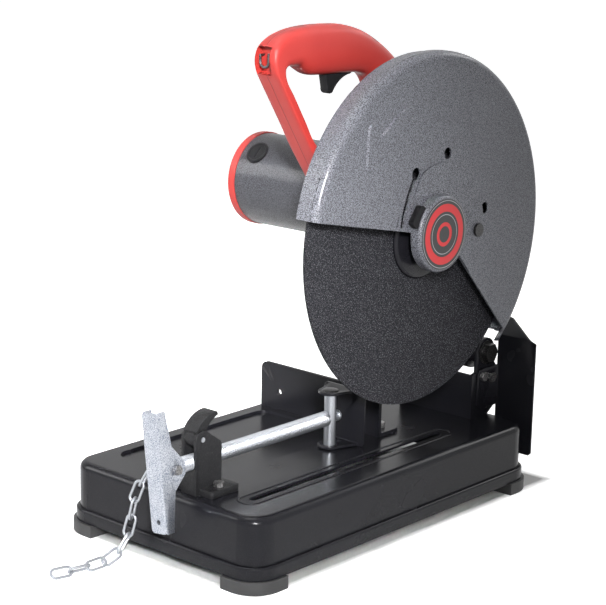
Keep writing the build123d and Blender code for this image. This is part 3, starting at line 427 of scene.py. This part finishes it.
def piece_from(name, parts, body, finish, replaced=()):
    """One piece made of surfaces, riding on a body, with its faces turned outwards."""
    vertices = []
    faces = []
    for points, quads in parts:
        faces.append(quads + sum(len(block) for block in vertices))
        vertices.append(points)
    mesh = bpy.data.meshes.new(name)
    mesh.from_pydata(np.concatenate(vertices).tolist(), [], np.concatenate(faces).tolist())
    work = bmesh.new()
    work.from_mesh(mesh)
    bmesh.ops.remove_doubles(work, verts=work.verts, dist=1e-7)
    bmesh.ops.recalc_face_normals(work, faces=work.faces)
    work.to_mesh(mesh)
    work.free()
    mesh.polygons.foreach_set("use_smooth", np.ones(len(mesh.polygons), dtype=bool))
    mesh.set_sharp_from_angle(angle=sharp_angle)
    mesh.materials.append(finish)
    made = bpy.data.objects.new(name, mesh)
    bpy.context.scene.collection.objects.link(made)
    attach(made, body)
    if replaced:
        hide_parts(*replaced)


def edited_copy(node, ending, edit):
    """Copy of a CAD piece in its place, with its doubles merged and one edit made to its mesh."""
    mesh = nodes[node].data.copy()
    work = bmesh.new()
    work.from_mesh(mesh)
    bmesh.ops.remove_doubles(work, verts=work.verts, dist=weld_distance)
    edit(work)
    work.to_mesh(mesh)
    work.free()
    mesh.polygons.foreach_set("use_smooth", np.ones(len(mesh.polygons), dtype=bool))
    made = bpy.data.objects.new(f"{node}_{ending}", mesh)
    bpy.context.scene.collection.objects.link(made)
    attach(made, body_of[node])
    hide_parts(node)
    return made


def join_flats(work):
    """Joins the triangles of each flat face."""
    bmesh.ops.dissolve_limit(work, angle_limit=flat_angle, verts=work.verts, edges=work.edges)


def raise_underside(work, lift=0.00015):
    """Raises the lowest face by the lift, clear of the table that it slides on."""
    places = np.array([vertex.co for vertex in work.verts])
    under = places[:, 2] < places[:, 2].min() + 1e-5
    for vertex, lifted in zip(work.verts, under):
        vertex.co.z += lift * lifted


def softened(node, width, steps=2):
    """Rounds the edges of a CAD piece's copy."""
    edge = edited_copy(node, "edged", join_flats).modifiers.new("rounded_edges", "BEVEL")
    edge.width = width
    edge.segments = steps
    edge.limit_method = "ANGLE"
    edge.angle_limit = edge_angle
    edge.harden_normals = True


edge_widths = {
    "vise_block": 0.0012,
    "half_nut": 0.0010,
    "vise_jaw": 0.0006,
    "vise_handle": 0.0005,
    "rear_bracket": 0.0006,
    "spark_plate": 0.0004,
    "trigger": 0.0010,
    "cover_latch": 0.0010,
    "swing_arm": 0.0012,
    "brush_caps": 0.0005,
    "outer_flange": 0.0005,
}
for node, width in edge_widths.items():
    softened(node, width)

fence_copy = edited_copy("fence", "raised", raise_underside)
fence_copy.data.set_sharp_from_angle(angle=sheet_edge_angle)


# ---------------------------------------------------------------- D handle
# One row for each rib, from the front strut's foot over the nose and the grip to the rear foot, in
# millimetres: Y and Z on the outer line, Y and Z on the finger opening's line, half the width across X,
# and the squareness of the section.
handle_ribs = np.array(
    (
        (-6, 328, 40, 380, 15.4, 6.0),
        (-21, 349, 8, 390, 15.4, 6.0),
        (-37, 372.5, -24, 394, 15.4, 6.0),
        (-53.5, 397, -46, 402, 15.4, 6.0),
        (-70.4, 422.2, -62.5, 427.5, 15.2, 5.0),
        (-87.3, 447.4, -79, 453, 15.2, 5.0),
        (-98, 464, -88.5, 466, 15.4, 5.0),
        (-105.6, 476, -90.5, 473, 15.4, 5.0),
        (-108.8, 488, -89.5, 478.5, 15.4, 4.5),
        (-106.0, 500, -84.5, 480.8, 15.4, 4.0),
        (-95.5, 509, -76, 480.5, 15.4, 3.4),
        (-77, 515.4, -66, 479.3, 15.4, 3.0),
        (-60, 517.8, -58.5, 474.5, 15.4, 2.9),
        (-45, 518.6, -49, 470, 15.4, 2.8),
        (-22, 518.4, -30, 468.6, 15.4, 2.8),
        (2, 516.6, 0, 468, 15.4, 2.8),
        (30, 509.3, 24, 467, 15.4, 2.8),
        (56, 496.6, 36, 463.5, 15.4, 2.8),
        (80, 480, 44, 455, 15.4, 3.0),
        (98, 461.5, 49.5, 443, 15.4, 3.2),
        (111, 437, 56, 420, 15.4, 3.6),
        (117, 410, 62, 400, 15.4, 4.0),
        (119, 385, 66, 385, 15.4, 4.0),
        (119, 356, 64, 362, 15.4, 4.0),
    )
)
hook_recess_x = (0.015, 0.035)
hook_recess_z = (0.474, 0.500)
hook_recess_back_y = -0.0984


def smooth_through(values, count):
    """Rows on cubic Hermite arcs through the given rows, whose knots are the roots of the chords apart."""
    chord = np.linalg.norm(np.diff((values[:, 0:2] + values[:, 2:4]) / 2, axis=0), axis=1)
    knots = np.concatenate(([0.0], np.cumsum(np.sqrt(chord))))
    slope = np.gradient(values, knots, axis=0)
    at = np.linspace(0.0, knots[-1], count)
    cell = np.clip(np.searchsorted(knots, at, side="right") - 1, 0, len(knots) - 2)
    width = (knots[cell + 1] - knots[cell])[:, None]
    t = ((at - knots[cell]) / width[:, 0])[:, None]
    start, end = values[cell], values[cell + 1]
    return (
        start * (2 * t**3 - 3 * t**2 + 1)
        + slope[cell] * width * (t**3 - 2 * t**2 + t)
        + end * (3 * t**2 - 2 * t**3)
        + slope[cell + 1] * width * (t**3 - t**2)
    )


def handle_surface(rows=420, columns=132):
    """Superellipse section carried along the handle.

    At each rib the section is centred between the outer line and the opening's line. Its one half axis
    is half their distance and its other is half the width across X: a point is the centre plus each
    axis times the signed 2/n power of sine or cosine, n being the squareness. On the nose, points
    inside the hook's recess are moved back to the recess's back wall.
    """
    ribs = smooth_through(handle_ribs, rows)
    outer, inner = MM * ribs[:, 0:2], MM * ribs[:, 2:4]
    centre, reach = (outer + inner) / 2, (outer - inner) / 2
    half_width, power = MM * ribs[:, 4, None], 2.0 / ribs[:, 5, None]
    angle = np.linspace(0.0, 2 * np.pi, columns, endpoint=False)[None, :]
    across = np.sign(np.cos(angle)) * np.abs(np.cos(angle)) ** power
    out = np.sign(np.sin(angle)) * np.abs(np.sin(angle)) ** power
    x = handle_middle + half_width * across
    y = centre[:, 0, None] + reach[:, 0, None] * out
    z = centre[:, 1, None] + reach[:, 1, None] * out
    in_x = (x > hook_recess_x[0]) & (x < hook_recess_x[1])
    in_z = (z > hook_recess_z[0]) & (z < hook_recess_z[1])
    y = np.where(in_x & in_z & (y < hook_recess_back_y) & (out > 0), hook_recess_back_y, y)
    return surface(np.stack((x, y, z), axis=-1), close_columns=True)


piece_from(
    "d_handle",
    [handle_surface()],
    "head",
    red_plastic("handle_red", handle_middle),
    ["handle_left", "handle_right"],
)


# ---------------------------------------------------------------- vise screw
def screw_surface():
    """Surface of revolution about the screw's axis, cut by a helical thread.

    Along Y the radius follows the turned steps of the screw. Between the thread's ends a round-topped
    wave of the angle and the place along Y, over the pitch, is taken off it, so one turn moves the
    groove by one pitch.
    """
    low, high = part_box("vise_screw")
    axis_x, axis_z = (low.x + high.x) / 2, (low.z + high.z) / 2
    radius = (high.x - low.x) / 2
    shoulder = -0.00885
    end_bevel, shoulder_bevel = 0.0015, 0.0010
    neck_radius, button_radius = 0.0040, 0.0060
    button_start = high.y - 0.0040
    pitch = 0.0030
    depth = 0.0013
    before_thread = np.array(((low.y, 0.0), (low.y, radius - end_bevel), (low.y + end_bevel, radius)))
    after_thread = np.array(
        (
            (shoulder - shoulder_bevel, radius),
            (shoulder, radius - shoulder_bevel),
            (shoulder, neck_radius),
            (button_start, neck_radius),
            (button_start, button_radius - 0.0005),
            (button_start + 0.0006, button_radius),
            (high.y - 0.0010, button_radius),
            (high.y, button_radius - 0.0015),
            (high.y, 0.0),
        )
    )
    threaded = np.arange(low.y + end_bevel + 0.0001, shoulder - shoulder_bevel - 0.0002, pitch / 7)
    along = np.concatenate((before_thread[:, 0], threaded, after_thread[:, 0]))
    size = np.concatenate((before_thread[:, 1], np.full(len(threaded), radius), after_thread[:, 1]))
    turn = np.linspace(0.0, 2 * np.pi, 40, endpoint=False)
    y, angle = np.meshgrid(along, turn, indexing="ij")
    r = np.repeat(size[:, None], len(turn), axis=1)
    fade = np.clip((y - low.y - 0.004) / 0.003, 0, 1) * np.clip((shoulder - 0.003 - y) / 0.003, 0, 1)
    wave = 0.5 - 0.5 * np.cos(2 * np.pi * (y / pitch) + angle)
    r = np.maximum(r - depth * fade * wave**1.5 * (r > 0.9 * radius), 0.0)
    points = np.stack((axis_x + r * np.cos(angle), y, axis_z + r * np.sin(angle)), axis=-1)
    return surface(points, close_columns=True)


piece_from(
    "vise_screw_threaded",
    [screw_surface()],
    "screw",
    finishes["bright_steel"],
    ["vise_screw"],
)


# ---------------------------------------------------------------- transport chain
link_length = 0.0250
link_width = 0.0125
link_wire = 0.0014
link_places = MM * np.array(
    (
        (-13.0, -225.0, 86.5),
        (-18.0, -232.5, 71.2),
        (-21.0, -235.0, 53.6),
        (-23.5, -237.0, 35.6),
        (-26.0, -242.7, 18.4),
        (-27.5, -257.6, 7.6),
        (-29.0, -276.6, 5.2),
        (-32.5, -295.4, 4.9),
        (-37.0, -314.0, 4.9),
    )
)
last_hanging_link = 5


def unit(vector):
    """Vector of length one."""
    return vector / np.linalg.norm(vector)


def link_surface(index):
    """Closed round wire bent to a long loop: two straights joined by half circles.

    The loop's parameter runs round the outline. The wire's circle stands square to it, spanned by
    the loop's outward direction and the link's own normal.
    """
    centre = link_places[index]
    along = unit(link_places[min(index + 1, len(link_places) - 1)] - link_places[max(index - 1, 0)])
    side = unit(np.cross(along, (0.3, -0.95, 0.0)))
    if index > last_hanging_link:
        level_side = unit(np.cross(along, (0.0, 0.0, 1.0)))
        side = unit(level_side + np.cross(along, level_side))
    normal = side if index % 2 == 0 else unit(np.cross(along, side))
    across = np.cross(normal, along)
    straight = (link_length - link_width) / 2
    bend = link_width / 2 - link_wire
    turn = np.linspace(0.0, 2 * np.pi, 36, endpoint=False) + np.pi / 36
    ring = np.linspace(0.0, 2 * np.pi, 10, endpoint=False)
    outward = np.cos(turn)[:, None] * across + np.sin(turn)[:, None] * along
    path = centre + bend * outward + (straight * np.sign(np.sin(turn)))[:, None] * along
    points = (
        path[:, None, :]
        + link_wire * np.cos(ring)[None, :, None] * outward[:, None, :]
        + link_wire * np.sin(ring)[None, :, None] * normal
    )
    return surface(points, close_rows=True, close_columns=True)


piece_from(
    "transport_chain_links",
    [link_surface(index) for index in range(len(link_places))],
    "base",
    finishes["bright_steel"],
    ["transport_chain"],
)


# ---------------------------------------------------------------- rotation arrow pressed in the guard
arrow_outline = MM * np.array(
    (
        (24.4, 441.4), (31.1, 433.8), (28.2, 429.1), (15.7, 425.3), (8.1, 421.0), (-2.6, 415.1),
        (-10.0, 407.9), (-15.8, 400.6), (-21.7, 393.4), (-27.4, 385.1), (-31.8, 380.7), (-36.3, 379.7),
        (-41.8, 382.8), (-43.4, 385.9), (-42.7, 403.5), (-41.8, 418.0), (-40.6, 425.7), (-37.0, 428.2),
        (-32.4, 426.8), (-28.4, 422.5), (-27.4, 417.5), (-25.7, 414.9), (-21.2, 415.5), (-13.7, 421.1),
        (-4.8, 428.2), (4.2, 434.2), (13.4, 439.3), (19.6, 441.3),
    )
)


def depth_inside(outline, points):
    """Distance from each point to the nearest side of a closed outline, positive inside it."""
    start = outline[None, :, :]
    run = np.roll(outline, -1, axis=0)[None, :, :] - start
    offset = points[:, None, :] - start
    share = np.clip((offset * run).sum(-1) / (run**2).sum(-1), 0, 1)
    gap = np.linalg.norm(offset - share[..., None] * run, axis=-1).min(axis=1)
    end = start + run
    height = points[:, None, 1]
    straddles = (start[..., 1] > height) != (end[..., 1] > height)
    safe_rise = np.where(run[..., 1] == 0, 1e-12, run[..., 1])
    cross_y = start[..., 0] + (height - start[..., 1]) / safe_rise * run[..., 0]
    inside = (straddles & (points[:, None, 0] < cross_y)).sum(axis=1) % 2 == 1
    return np.where(inside, gap, -gap)


def arrow_surface(rise=0.0021, flank=0.0018, sunk=0.0002):
    """Height over the guard's face on a grid in Y and Z: a smooth step of the depth inside the outline.

    The step goes from just under the sheet's face, at the outline, to the full rise one flank inside.
    """
    margin = 0.002
    low = arrow_outline.min(axis=0) - margin
    high = arrow_outline.max(axis=0) + margin
    y, z = np.meshgrid(np.linspace(low[0], high[0], 150), np.linspace(low[1], high[1], 130), indexing="ij")
    depth = depth_inside(arrow_outline, np.stack((y, z), axis=-1).reshape(-1, 2)).reshape(y.shape)
    step = np.clip(depth / flank, 0, 1)
    height = rise * step**2 * (3 - 2 * step) - sunk * (depth < 0.0002)
    return surface(np.stack((guard_face + height, y, z), axis=-1))


piece_from("rotation_arrow", [arrow_surface()], "head", finishes["grey_hammertone"])


# ---------------------------------------------------------------- rolled edge of the guard
guard_lift = 0.004
guard_cuts = (168.4, -47.1)


def guard_ring(x, reach, turns=260):
    """Closed section carried round the guard's centre, from its front cut to its rear cut.

    A point keeps its X and its reach: Y and Z are the centre plus reach times the angle's cosine and
    sine. The first and last rows are drawn in to the section's middle, which closes both ends.
    """
    angle = np.linspace(*guard_cuts, turns)
    angle = np.radians(np.concatenate((angle[:1], angle, angle[-1:])))[:, None]
    open_by = np.concatenate(([0.0], np.ones(turns), [0.0]))[:, None]
    x_here = x.mean() + open_by * (x - x.mean())[None, :]
    r_here = reach.mean() + open_by * (reach - reach.mean())[None, :]
    y = wheel_centre.y + r_here * np.cos(angle)
    z = wheel_centre.z + guard_lift + r_here * np.sin(angle)
    return surface(np.stack((x_here, y, z), axis=-1), close_columns=True)


def rolled_edge_section():
    """X and reach of a quarter ellipse from the guard's rim to its face, closed inside the sheet."""
    rim_x, rim_reach = 0.0967, 0.1874
    face_x, face_reach = 0.10405, 0.1790
    roll = np.linspace(0.0, np.pi / 2, 16)
    x = rim_x + (face_x - rim_x) * np.sin(roll)
    reach = face_reach + (rim_reach - face_reach) * np.cos(roll)
    return np.concatenate((x, (0.1036, 0.0967))), np.concatenate((reach, (0.1787, 0.1856)))


def fold_shade_section(x=0.09585, reach=0.1870, radius=0.00095):
    """X and reach of a small circle in the fold between the guard's rim and its rolled edge: a black ring
    that paints the shade in the fold.
    """
    turn = np.linspace(0.0, 2 * np.pi, 14, endpoint=False)
    return x + radius * np.cos(turn), reach + radius * np.sin(turn)


# The bead is the rolled edge's shape; the black ring in the fold beside it is painted shade.
for name, section, slot_name in (
    ("guard_bead", rolled_edge_section(), "grey_hammertone"),
    ("guard_fold_painted_shade", fold_shade_section(), "flange_black"),
):
    piece_from(name, [guard_ring(*section)], "head", finishes[slot_name])


# ---------------------------------------------------------------- head of the jaw pin
def pin_head_surface(radius=0.0085, height=0.0016, columns=64):
    """Low dome on the jaw pin: half an ellipse turned about the pin's axis."""
    low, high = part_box("jaw_pin")
    slope = np.linspace(0.0, np.pi / 2, 14)[:, None]
    turn = np.linspace(0.0, 2 * np.pi, columns, endpoint=False)[None, :]
    x = (low.x + high.x) / 2 + radius * np.sin(slope) * np.cos(turn)
    y = (low.y + high.y) / 2 + radius * np.sin(slope) * np.sin(turn)
    z = high.z + height * np.cos(slope)
    return surface(np.stack(np.broadcast_arrays(x, y, z), axis=-1), close_columns=True)


piece_from("jaw_pin_head", [pin_head_surface()], "jaw_carrier", black_steel)


# ---------------------------------------------------------------- pressed rim of the wheel slot
def slot_rim_surface(ends=(-0.179, 0.120), half_width=0.0115, rib=0.0017, rise=0.0010, columns=11):
    """Low rib pressed round the wheel slot: half an ellipse carried along a stadium.

    The path is a half circle about each end of the slot, joined by straight runs. A section point lies
    rib times the cosine out from the path and rise times the sine above the table.
    """
    turn = np.linspace(0.0, np.pi, 24)
    angle = np.concatenate((np.pi + turn, turn))[:, None]
    end_y = np.repeat(np.array(ends), len(turn))[:, None]
    section = np.linspace(0.0, np.pi, columns)[None, :]
    reach = half_width + rib * np.cos(section)
    sunk = 0.0001
    x = wheel_centre.x + reach * np.cos(angle)
    y = end_y + reach * np.sin(angle)
    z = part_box("base_pan")[1].z - sunk + rise * np.sin(section)
    return surface(np.stack(np.broadcast_arrays(x, y, z), axis=-1), close_rows=True)


piece_from("slot_rim", [slot_rim_surface()], "base", finishes["black_paint"])


# ---------------------------------------------------------------- printed disc on the hub
def disc_surface(thickness=0.0003):
    """Thin round disc: a polar grid whose rim turns down into the hub's face."""
    flat = np.linspace(0.0, hub_radius - thickness, 24)
    reach = np.concatenate((flat, [hub_radius - 0.0001, hub_radius, hub_radius]))
    lift = np.concatenate((np.full(len(flat), thickness), [0.00022, 0.0001, -0.0002]))
    turn = np.linspace(0.0, 2 * np.pi, 96, endpoint=False)
    r, angle = np.meshgrid(reach, turn, indexing="ij")
    x = np.repeat((hub_centre[0] + lift)[:, None], len(turn), axis=1)
    return surface(
        np.stack((x, hub_centre[1] + r * np.cos(angle), hub_centre[2] + r * np.sin(angle)), axis=-1),
        close_columns=True,
    )


piece_from("hub_disc", [disc_surface()], "access_cover", ringed_disc())


# ---------------------------------------------------------------- studio
floor_glow = 0.88
shade_edge = 0.012
lamps = (
    ("top_light", (-0.3, -0.3, 2.2), (0.0, 0.0, 0.2), 1.0, 1.0, 15.0, 180.0),
    ("left_light", (-1.9, -1.5, 1.3), (0.0, 0.0, 0.25), 0.8, 1.0, 19.0, 180.0),
    ("front_light", (1.45, -1.45, 1.15), (0.1, -0.25, 0.36), 0.3, 0.5, 2.7, 18.0),
    ("back_light", (0.4, 2.1, 1.5), (0.0, 0.0, 0.3), 1.0, 0.6, 8.0, 180.0),
)


def studio_floor():
    """Plain matt floor that glows to the camera and in reflections, but not over a rectangle under the base
    that reaches a little behind it: left without glow, that patch is painted shade.
    """
    look = Finish("floor_white", (0.8, 0.8, 0.8), 0.9)
    rays = look.node("ShaderNodeLightPath")
    seen = look.sum_of(rays.outputs["Is Camera Ray"], rays.outputs["Is Glossy Ray"], "MAXIMUM")
    seen = look.sum_of(seen, rays.outputs["Is Transmission Ray"], "MAXIMUM")
    place = look.node("ShaderNodeSeparateXYZ", Vector=look.place)
    clear = None
    # Glow is left off over this rectangle round the base, so the floor there is painted shade, softened over
    # shade_edge.
    for axis, shift, half in (("X", 0.0, 0.128), ("Y", 0.018, 0.236)):
        away = look.sum_of(look.sum_of(place.outputs[axis], shift, "SUBTRACT"), 0.0, "ABSOLUTE")
        beyond = look.remap(away, half, half + shade_edge)
        clear = beyond if clear is None else look.sum_of(clear, beyond, "MAXIMUM")
    glow = look.sum_of(seen, floor_glow, "MULTIPLY")
    look.shader.inputs["Emission Color"].default_value = (1.0, 1.0, 1.0, 1.0)
    look.set("Emission Strength", look.sum_of(glow, clear, "MULTIPLY"))
    return look.material


def soft_light(name, place, target, width, height, power, spread):
    """A large rectangular lamp aimed at a point, its beam held to a spread in degrees."""
    lamp = bpy.data.lights.new(name, "AREA")
    lamp.shape = "RECTANGLE"
    lamp.size = width
    lamp.size_y = height
    lamp.energy = power
    lamp.spread = radians(spread)
    holder = bpy.data.objects.new(name, lamp)
    holder.location = place
    holder.rotation_euler = (Vector(target) - Vector(place)).to_track_quat("-Z", "Y").to_euler()
    bpy.context.scene.collection.objects.link(holder)


def build_studio():
    """White floor, white surroundings and the lamps."""
    bpy.ops.mesh.primitive_plane_add(size=14.0)
    floor = bpy.context.object
    floor.name = "floor"
    floor.data.materials.append(studio_floor())
    for lamp in lamps:
        soft_light(*lamp)
    world = bpy.data.worlds.new("studio_white")
    world.use_nodes = True
    bpy.context.scene.world = world
    tree = world.node_tree
    rays = tree.nodes.new("ShaderNodeLightPath")
    seen = rays.outputs["Is Camera Ray"]
    for kind in ("Is Glossy Ray", "Is Transmission Ray"):
        either = tree.nodes.new("ShaderNodeMath")
        either.operation = "MAXIMUM"
        tree.links.new(seen, either.inputs[0])
        tree.links.new(rays.outputs[kind], either.inputs[1])
        seen = either.outputs["Value"]
    strength = tree.nodes.new("ShaderNodeMapRange")
    strength.inputs["To Min"].default_value = 0.13
    strength.inputs["To Max"].default_value = 1.0
    tree.links.new(seen, strength.inputs["Value"])
    background = tree.nodes["Background"]
    background.inputs["Color"].default_value = (1.0, 1.0, 1.0, 1.0)
    tree.links.new(strength.outputs["Result"], background.inputs["Strength"])
    bpy.context.scene.view_settings.view_transform = "Standard"


build_studio()
